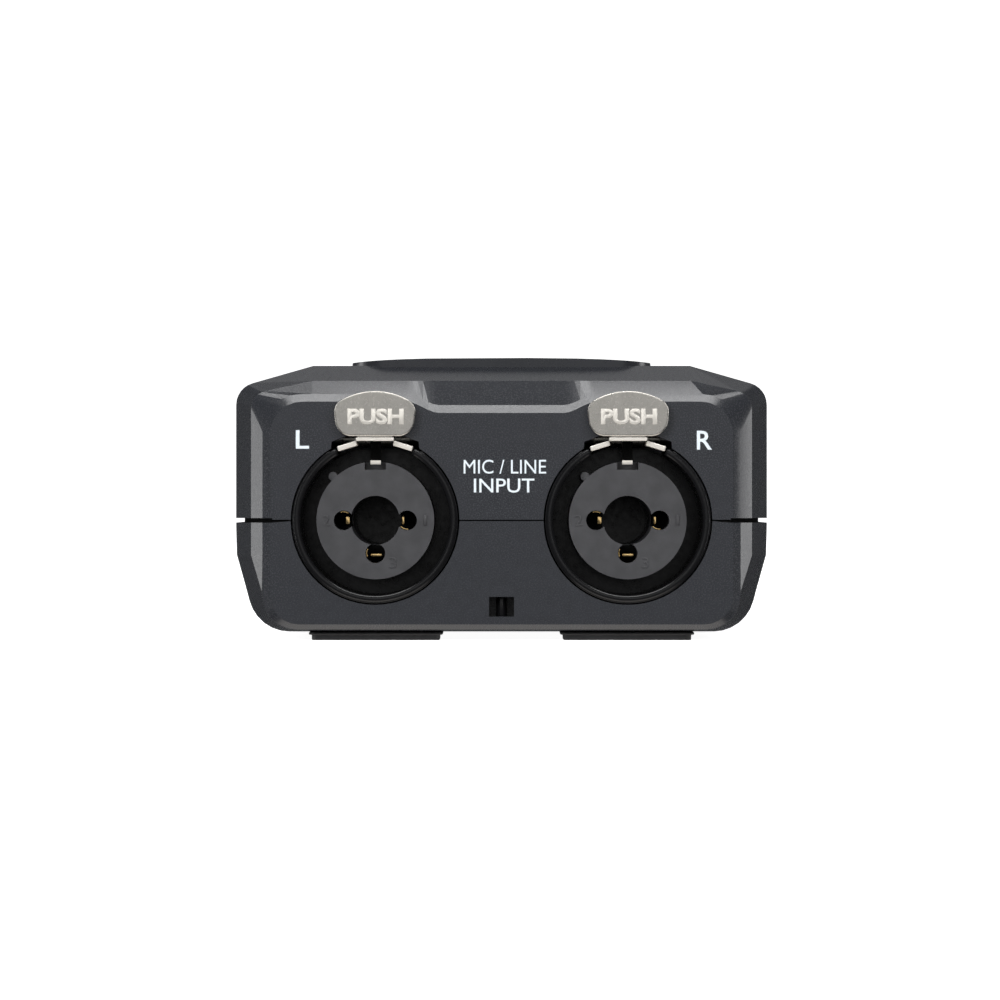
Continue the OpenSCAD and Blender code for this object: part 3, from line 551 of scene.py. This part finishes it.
def build_bead(side):
    """The rounded bead on the connector's rim, from one side of the latch round to the other."""
    cx, _, cz = JACKS[side]
    profile = [(BEAD_R + u * BEAD_HALF_WIDTH, BEAD_Y + w * BEAD_RISE)
               for u, w in arc((0, 0), 1, 0, 345, 23)]
    bm = bmesh.new()
    rings = []
    for u, w in arc((0, 0), 1, 90 + BEAD_GAP_DEGREES, 450 - BEAD_GAP_DEGREES, 150):
        rings.append([bm.verts.new((cx + r * u, y, cz + r * w)) for r, y in profile])
    for one, two in zip(rings, rings[1:]):
        for k in range(len(one)):
            bm.faces.new((one[k - 1], one[k], two[k], two[k - 1]))
    bm.faces.new(rings[0])
    bm.faces.new(rings[-1])
    piece(f"{side}_rim_bead", to_mesh(bm, f"{side}_rim_bead"), connector_black, RECORDER)


for side in SIDES:
    build_bead(side)
    build_latch(side)
    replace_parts(build_contacts(side), "socket_contacts")
    number_insert(side)


# ---- Display face: key caps with their legends, and the display's content ----

CAP_ROUNDING = 0.35 * MM
CAP_INSET = 0.4 * MM                                 # of a cap's side from its CAD key's widest part


def cap(node, outline, material):
    """A key cap that stands in for its CAD key."""
    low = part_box(node)[0].z
    obj = prisms(f"{node}_cap", [outline], "top", low, KEY_TOP, material, node, CAP_ROUNDING, 4)
    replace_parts(obj, node)


def key_mark(name, outlines, node):
    prisms(name, outlines, "top", KEY_TOP - 0.1 * MM, KEY_TOP + WHITE_PRINT_RAISE, white_print, node)


def scaled(points, centre, size):
    return [(centre[0] + x * size, centre[1] + y * size) for x, y in points]


SQUARE = [(-1, -1), (1, -1), (1, 1), (-1, 1)]
TRIANGLE = [(-0.85, -1.05), (1.1, 0), (-0.85, 1.05)]
TRANSPORT = {"stop_key": [SQUARE], "record_key": [arc((0, 0), 1.05, 0, 350, 35)], "play_key": [TRIANGLE]}
for node, marks in TRANSPORT.items():
    low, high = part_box(node)
    centre = ((low + high) / 2).xy
    radius = (high.x - low.x) / 2 - CAP_INSET
    cap(node, arc(centre, radius, 0, 354, 59), record_red if node == "record_key" else key_cap)
    key_mark(f"{node}_mark", [scaled(m, centre, 1.25 * MM) for m in marks], node)

ring_centre = centre_of("enter_key").xy
enter_low, enter_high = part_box("enter_key")
cap("enter_key", arc(ring_centre, (enter_high.x - enter_low.x) / 2 - CAP_INSET, 0, 354, 59), key_cap)
key_mark("enter_key_mark", [arc(ring_centre, 0.9 * MM, 0, 350, 35)], "enter_key")
RING_IN, RING_MARK, RING_OUT, RING_HALF_ANGLE = 6.2 * MM, 9.4 * MM, 12.6 * MM, 38
RING_KEYS = {"forward_key": 0, "up_key": 90, "back_key": 180, "down_key": 270}
for node, turn in RING_KEYS.items():
    outer = arc(ring_centre, RING_OUT, turn - RING_HALF_ANGLE, turn + RING_HALF_ANGLE, 24)
    inner = arc(ring_centre, RING_IN, turn + RING_HALF_ANGLE, turn - RING_HALF_ANGLE, 16)
    cap(node, outer + inner, key_cap)
    a = math.radians(turn)
    middle = ring_centre + Vector((math.cos(a), math.sin(a))) * RING_MARK
    turned = [(x * math.cos(a) - y * math.sin(a), x * math.sin(a) + y * math.cos(a)) for x, y in TRIANGLE]
    if node in ("forward_key", "back_key"):
        step = Vector((math.cos(a), math.sin(a))) * 1.0 * MM
        arrows = [scaled(turned, middle - step, 0.9 * MM), scaled(turned, middle + step, 0.9 * MM)]
    else:
        arrows = [scaled(turned, middle, 1.05 * MM)]
    key_mark(f"{node}_mark", arrows, node)

BARS = [[(-1.5, y - 0.18), (1.5, y - 0.18), (1.5, y + 0.18), (-1.5, y + 0.18)] for y in (-0.75, 0, 0.75)]
SLIDERS = [[(x - 0.14, -1.1), (x + 0.14, -1.1), (x + 0.14, 1.1), (x - 0.14, 1.1)] for x in (-1.2, 0, 1.2)]
KNOBS = [[(x - 0.5, y - 0.22), (x + 0.5, y - 0.22), (x + 0.5, y + 0.22), (x - 0.5, y + 0.22)]
         for x, y in ((-1.2, 0.4), (0, -0.5), (1.2, 0.1))]
FLAG = [[(-0.9, -1.2), (-0.6, -1.2), (-0.6, 1.2), (-0.9, 1.2)], [(-0.6, 0.0), (1.1, 0.6), (-0.6, 1.2)]]
for node, marks in {"menu_key": BARS, "mixer_key": SLIDERS + KNOBS, "mark_key": FLAG}.items():
    low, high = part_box(node)
    centre = ((low + high) / 2).xy
    w, h = high.x - low.x - 2 * CAP_INSET, high.y - low.y - 2 * CAP_INSET
    cap(node, rounded_box(centre, w, h, h / 2 - 0.01 * MM, 10), key_cap)
    key_mark(f"{node}_mark", [scaled(m, centre, 1 * MM) for m in marks], node)

glass_low, glass_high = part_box("lcd_glass")
INK_LOW, INK_HIGH = glass_high.z - 0.02 * MM, glass_high.z + 0.02 * MM
glass_x, glass_y = ((glass_low + glass_high) / 2).xy


def from_glass(x_mm, y_mm):
    return glass_x + x_mm * MM, glass_y + y_mm * MM


def lcd_words(name, words, x, y, width, height):
    lettering(name, words, from_glass(x, y), (width * MM, height * MM), "top", INK_LOW, INK_HIGH, lcd_ink,
              RECORDER, 0.01)


def lcd_shapes(name, outlines):
    prisms(name, outlines, "top", INK_LOW, INK_HIGH, lcd_ink, RECORDER)


def lcd_block(x, y, width, height, radius):
    return rounded_box(from_glass(x, y), width * MM, height * MM, radius * MM, 2)


lcd_words("display_time", "00:12:34", 0, 2.2, 20, 4.6)
lcd_words("display_left_letter", "L", -13.8, -3.4, 1.1, 1.8)
lcd_words("display_right_letter", "R", -13.8, -6.6, 1.3, 1.8)
lcd_words("display_scale", "-48  -36  -24  -12   0", 0.8, -9.2, 25, 1.2)


def level_bar(y, lit, count=26):
    """A level meter: tall blocks as far as lit, and low ones after them."""
    first, pitch, width, tall, short = -11.8, 0.97, 0.68, 1.7, 0.35
    return [lcd_block(first + i * pitch, y, width, tall if i < lit else short, 0.08) for i in range(count)]


lcd_shapes("display_levels", level_bar(-3.4, 19) + level_bar(-6.6, 16))
lcd_shapes("display_rule", [lcd_block(0, 6.4, 31, 0.3, 0.1)])
lcd_shapes("display_battery", [lcd_block(13.2, 8.6, 3.6, 1.8, 0.2), lcd_block(15.2, 8.6, 0.5, 0.9, 0.1)])
lcd_shapes("display_run_mark", [scaled(TRIANGLE, from_glass(-13.6, 8.6), 1.0 * MM)])


# ---- Side controls ----

MARK_OFFSET = 5.8 * MM                               # of each mark from the rocker's middle


def plus_outline(cy, cz, s, t):
    """A plus sign with arms of length s and half width t."""
    points = [(-s, -t), (-t, -t), (-t, -s), (t, -s), (t, -t), (s, -t),
              (s, t), (t, t), (t, s), (-t, s), (-t, t), (-s, t)]
    return [(cy + y, cz + z) for y, z in points]


for node, s in (("volume_rocker", -1), ("level_rocker", 1)):
    low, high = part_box(node)
    centre = (low + high) / 2
    skin = s * max(abs(low.x), abs(high.x))
    plus = plus_outline(centre.y + MARK_OFFSET, centre.z, 1.1 * MM, 0.2 * MM)
    minus = rounded_box((centre.y - MARK_OFFSET, centre.z), 2.2 * MM, 0.4 * MM, 0.05 * MM, 2)
    inner, outer = sorted((skin - s * 0.1 * MM, skin + s * 0.04 * MM))
    prisms(f"{node}_marks", [plus, minus], "side", inner, outer, white_print, node, 0.02 * MM, 2)


# ---- Microphone grilles: a woven cup over black foam ----

# the microphone's radius, and distances from its pivot to the sleeve's end, the cup's shoulder and its tip
MIC_R, MIC_SLEEVE_END, MIC_TIP, MIC_LEN = 7 * MM, 16.2 * MM, 21 * MM, 22 * MM
WIRE = 0.11 * MM
PIVOT_INSET = 8.8 * MM                               # of the pivot from the turret's outer and -Y sides
CROWN_DROP, CROWN_RISE, CROWN_INSET = 0.33 * MM, 0.95, 1.05 * MM


def mic_frame(side):
    """The pivot, and the two unit vectors along and across the microphone at rest."""
    low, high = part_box(f"{side}_turret")
    s = SIDES[side]
    pivot = Vector((low.x + PIVOT_INSET if s < 0 else high.x - PIVOT_INSET, low.y + PIVOT_INSET,
                    (low.z + high.z) / 2))
    along = Vector((-s, 1, 0)).normalized()
    across = Vector((-along.y, along.x, 0))
    return pivot, along, across


def cup_point(place, distance, radius, angle):
    """A point of the microphone, at a distance along its axis and a radius from it."""
    pivot, along, across = place
    return (pivot + along * distance
            + across * (radius * math.cos(angle)) + Vector((0, 0, 1)) * (radius * math.sin(angle)))


def build_grille(side):
    """The woven cup, the rim that holds it and the foam inside."""
    place, body = mic_frame(side), f"{side}_microphone"
    shrink = WIRE / 2 + 0.16 * MM
    around = 44
    wall_start, wall_length = MIC_SLEEVE_END + 0.9 * MM, MIC_TIP - MIC_SLEEVE_END - 1.1 * MM
    profile = [(wall_start + i * wall_length / 5, MIC_R - shrink) for i in range(6)]
    profile += [(MIC_TIP - CROWN_DROP + (MIC_LEN - MIC_TIP) * math.sin(math.radians(a)) * CROWN_RISE,
                 MIC_R - shrink - CROWN_INSET * (1 - math.cos(math.radians(a)))) for a in (25, 50, 75)]
    top, top_r = profile[-1]
    profile += [(top + (MIC_LEN - shrink - top) * (1 - (r / 5) ** 2), top_r * r / 5) for r in (4, 3, 2, 1)]
    bm = bmesh.new()
    rings = []
    for k, (distance, radius) in enumerate(profile):
        shift = math.pi / around * (k % 2)
        rings.append([bm.verts.new(cup_point(place, distance, radius, 2 * math.pi * i / around + shift))
                      for i in range(around)])
    for k in range(len(rings) - 2):       # diamonds that span three rings
        for i in range(around):
            nxt, prv = (i + 1) % around, (i - 1) % around
            left, right = (i, nxt) if k % 2 else (prv, i)
            bm.faces.new((rings[k][i], rings[k + 1][right], rings[k + 2][i], rings[k + 1][left]))
    bmesh.ops.recalc_face_normals(bm, faces=bm.faces)
    mesh = bpy.data.meshes.new(f"{side}_grille_mesh")
    bm.to_mesh(mesh)
    bm.free()
    woven = piece(f"{side}_grille_mesh", mesh, grille_wire, body, smooth=False)
    wires = woven.modifiers.new("wires", "WIREFRAME")
    wires.thickness = WIRE * 2
    wires.use_even_offset = False
    wires.use_boundary = True

    def lathe(name, points, material, steps=64):
        """A solid of revolution about the microphone's axis, from (distance, radius) points."""
        loft = bmesh.new()
        loops = [[loft.verts.new(cup_point(place, d, max(r, 1e-6), 2 * math.pi * i / steps))
                  for i in range(steps)] for d, r in points]
        for k in range(len(loops)):
            nxt = loops[(k + 1) % len(loops)]
            for i in range(steps):
                j = (i + 1) % steps
                loft.faces.new((loops[k][i], loops[k][j], nxt[j], nxt[i]))
        return piece(name, to_mesh(loft, name), material, body)

    rim = lathe(f"{side}_grille_rim", [
        (MIC_SLEEVE_END, MIC_R - 0.8 * MM), (MIC_SLEEVE_END, MIC_R), (MIC_SLEEVE_END + 0.85 * MM, MIC_R),
        (MIC_SLEEVE_END + 1.0 * MM, MIC_R - 0.15 * MM), (MIC_SLEEVE_END + 1.0 * MM, MIC_R - 0.8 * MM)],
        mic_metal)
    round_edges(rim, 0.08 * MM, 2)
    foam_r = MIC_R - 0.75 * MM
    lathe(f"{side}_grille_foam", [
        (MIC_SLEEVE_END + 2.6 * MM, 0), (MIC_SLEEVE_END + 2.6 * MM, foam_r), (MIC_TIP - 0.6 * MM, foam_r),
        (MIC_TIP - 0.1 * MM, foam_r - 0.5 * MM), (MIC_TIP + 0.25 * MM, foam_r - 2 * MM),
        (MIC_TIP + 0.35 * MM, 0)], foam_black)
    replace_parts(woven, f"{side}_mic_grille")


for side in SIDES:
    build_grille(side)


# ---- Underside: the tripod thread ----

def helix_thread(name, node, radius, pitch, depth, material):
    """A thread's ridge as one swept triangle inside the insert's hole."""
    low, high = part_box(node)
    cx, cy = ((low + high) / 2).xy
    start, end, steps = low.z + 0.3 * MM, low.z + 6.6 * MM, 36
    turns = (end - start) / pitch
    total = int(turns * steps)
    root = radius + 0.02 * MM                        # the ridge starts just inside the wall
    bm = bmesh.new()
    rows = []
    for i in range(total + 1):
        a, z = 2 * math.pi * i / steps, start + pitch * i / steps
        fade = max(0.05, min(1, i / 12, (total - i) / 12))
        section = ((root, -0.42 * pitch), (radius - depth * fade, 0), (root, 0.42 * pitch))
        rows.append([bm.verts.new((cx + r * math.cos(a), cy + r * math.sin(a), z + dz))
                     for r, dz in section])
    for a, b in zip(rows, rows[1:]):
        for k in range(3):
            j = (k + 1) % 3
            bm.faces.new((a[k], a[j], b[j], b[k]))
    bm.faces.new(rows[0])
    bm.faces.new(rows[-1])
    piece(name, to_mesh(bm, name), material, RECORDER)


helix_thread("tripod_thread_ridge", "tripod_insert", 3.175 * MM, 1.27 * MM, 0.6 * MM, brass)


# ---- Floor, light and camera ----

def stage_piece(name, bm, material):
    """Part of the set, which the camera sees but the object's surfaces don't."""
    mesh = bpy.data.meshes.new(name)
    bm.to_mesh(mesh)
    bm.free()
    mesh.materials.append(material)
    obj = bpy.data.objects.new(name, mesh)
    obj.visible_diffuse = obj.visible_glossy = obj.visible_transmission = obj.visible_shadow = False
    bpy.context.scene.collection.objects.link(obj)


PAPER_WHITE = (0.84, 0.84, 0.84)
SET_RADIUS, SET_HEIGHT = 3.4, 3.0


def glowing(name, strength):
    """Plain white paper that is lit evenly, however the studio lights fall."""
    material = surface(name, PAPER_WHITE, 0.8, mottle=0.01, mottle_mm=40, grain_mm=1, grain_depth_mm=0.01,
                       specular=0)
    shader = material.node_tree.nodes["Principled BSDF"]
    shader.inputs["Emission Color"].default_value = (1, 1, 1, 1)
    shader.inputs["Emission Strength"].default_value = strength
    return material


floor_mesh = bmesh.new()
bmesh.ops.create_circle(floor_mesh, cap_ends=True, segments=64, radius=SET_RADIUS)
stage_piece("floor", floor_mesh, glowing("paper", 0.93))
wall_mesh = bmesh.new()
bmesh.ops.create_cone(wall_mesh, segments=64, radius1=SET_RADIUS, radius2=SET_RADIUS, depth=SET_HEIGHT)
bmesh.ops.translate(wall_mesh, verts=wall_mesh.verts, vec=(0, 0, SET_HEIGHT / 2))
stage_piece("backdrop", wall_mesh, glowing("backdrop_paper", 1.0))


def area_light(name, size, location, target, radiance, seen_by="all", colour=(1, 1, 1)):
    """A softbox of that width and height, brightness per unit area, and kind of surface that it lights."""
    light = bpy.data.lights.new(name, "AREA")
    light.shape = "RECTANGLE"
    light.size, light.size_y = size
    light.energy = radiance * math.pi * size[0] * size[1]
    light.color = colour
    obj = bpy.data.objects.new(name, light)
    obj.location = location
    obj.rotation_euler = (Vector(target) - Vector(location)).to_track_quat("-Z", "Y").to_euler()
    obj.visible_camera = False
    obj.visible_glossy = seen_by != "diffuse"
    obj.visible_diffuse = seen_by != "glossy"
    bpy.context.scene.collection.objects.link(obj)


# Glossy surfaces mirror the softboxes, and the fills and keys light only matt ones. The bounce lights both
# from under the floor, which casts no shadow, and so does the front softbox from behind the camera.
area_light("top_softbox", (1.1, 0.26), (0, -0.265, 0.92), (0, -0.265, 0), 9.5, seen_by="glossy")
area_light("top_fill", (1.2, 1.2), (0, 0, 1.3), (0, 0, 0), 1.3, seen_by="diffuse")
area_light("rear_softbox", (1.0, 0.5), (0, 0.75, 0.95), (0, 0, 0.03), 0.55, seen_by="glossy")
area_light("front_softbox", (2.2, 1.4), (0, -1.75, 0.70), (0, -1, 0.70), 0.75)
area_light("rear_fill", (1.4, 0.8), (0, 1.5, 0.9), (0, 0, 0), 1.5, seen_by="diffuse")
area_light("table_bounce", (0.8, 0.8), (0, -0.1, -0.5), (0, -0.1, 0), 1.5, colour=(1.0, 0.95, 0.9))
KEY_RADIANCE = {"left": 21.5, "right": 11.5}
for side, s in SIDES.items():
    area_light(f"{side}_softbox", (0.25, 1.2), (s * 0.75, 0.07, 0.25), (0, 0.07, 0.25), 4.6,
               seen_by="glossy")
    area_light(f"{side}_key", (0.6, 0.6), (s * 0.7, -1.55, 0.6), (0, -0.05, 0.02), KEY_RADIANCE[side],
               seen_by="diffuse")

world = bpy.data.worlds.new("studio")
world.use_nodes = True
world.node_tree.nodes["Background"].inputs["Color"].default_value = (0.93, 0.96, 1.0, 1)
world.node_tree.nodes["Background"].inputs["Strength"].default_value = 0.10
bpy.context.scene.world = world
bpy.context.scene.view_settings.view_transform = "Standard"

CAMERA_DISTANCE, CAMERA_SIDE, CAMERA_HEIGHT = 0.700, -0.2 * MM, 18.6 * MM
SENSOR, FOCAL_PER_DISTANCE = 36.0, 0.27256           # the sensor in mm, and how large the object fills it
camera_data = bpy.data.cameras.new("camera")
camera_data.sensor_width = SENSOR
camera_data.lens = CAMERA_DISTANCE / MM * FOCAL_PER_DISTANCE
camera_data.clip_start = 0.01
camera_data.clip_end = 20
camera = bpy.data.objects.new("camera", camera_data)
camera.location = (CAMERA_SIDE, FACE_Y - CAMERA_DISTANCE, CAMERA_HEIGHT)
camera.rotation_euler = (math.radians(90), 0, 0)
bpy.context.scene.collection.objects.link(camera)
bpy.context.scene.camera = camera
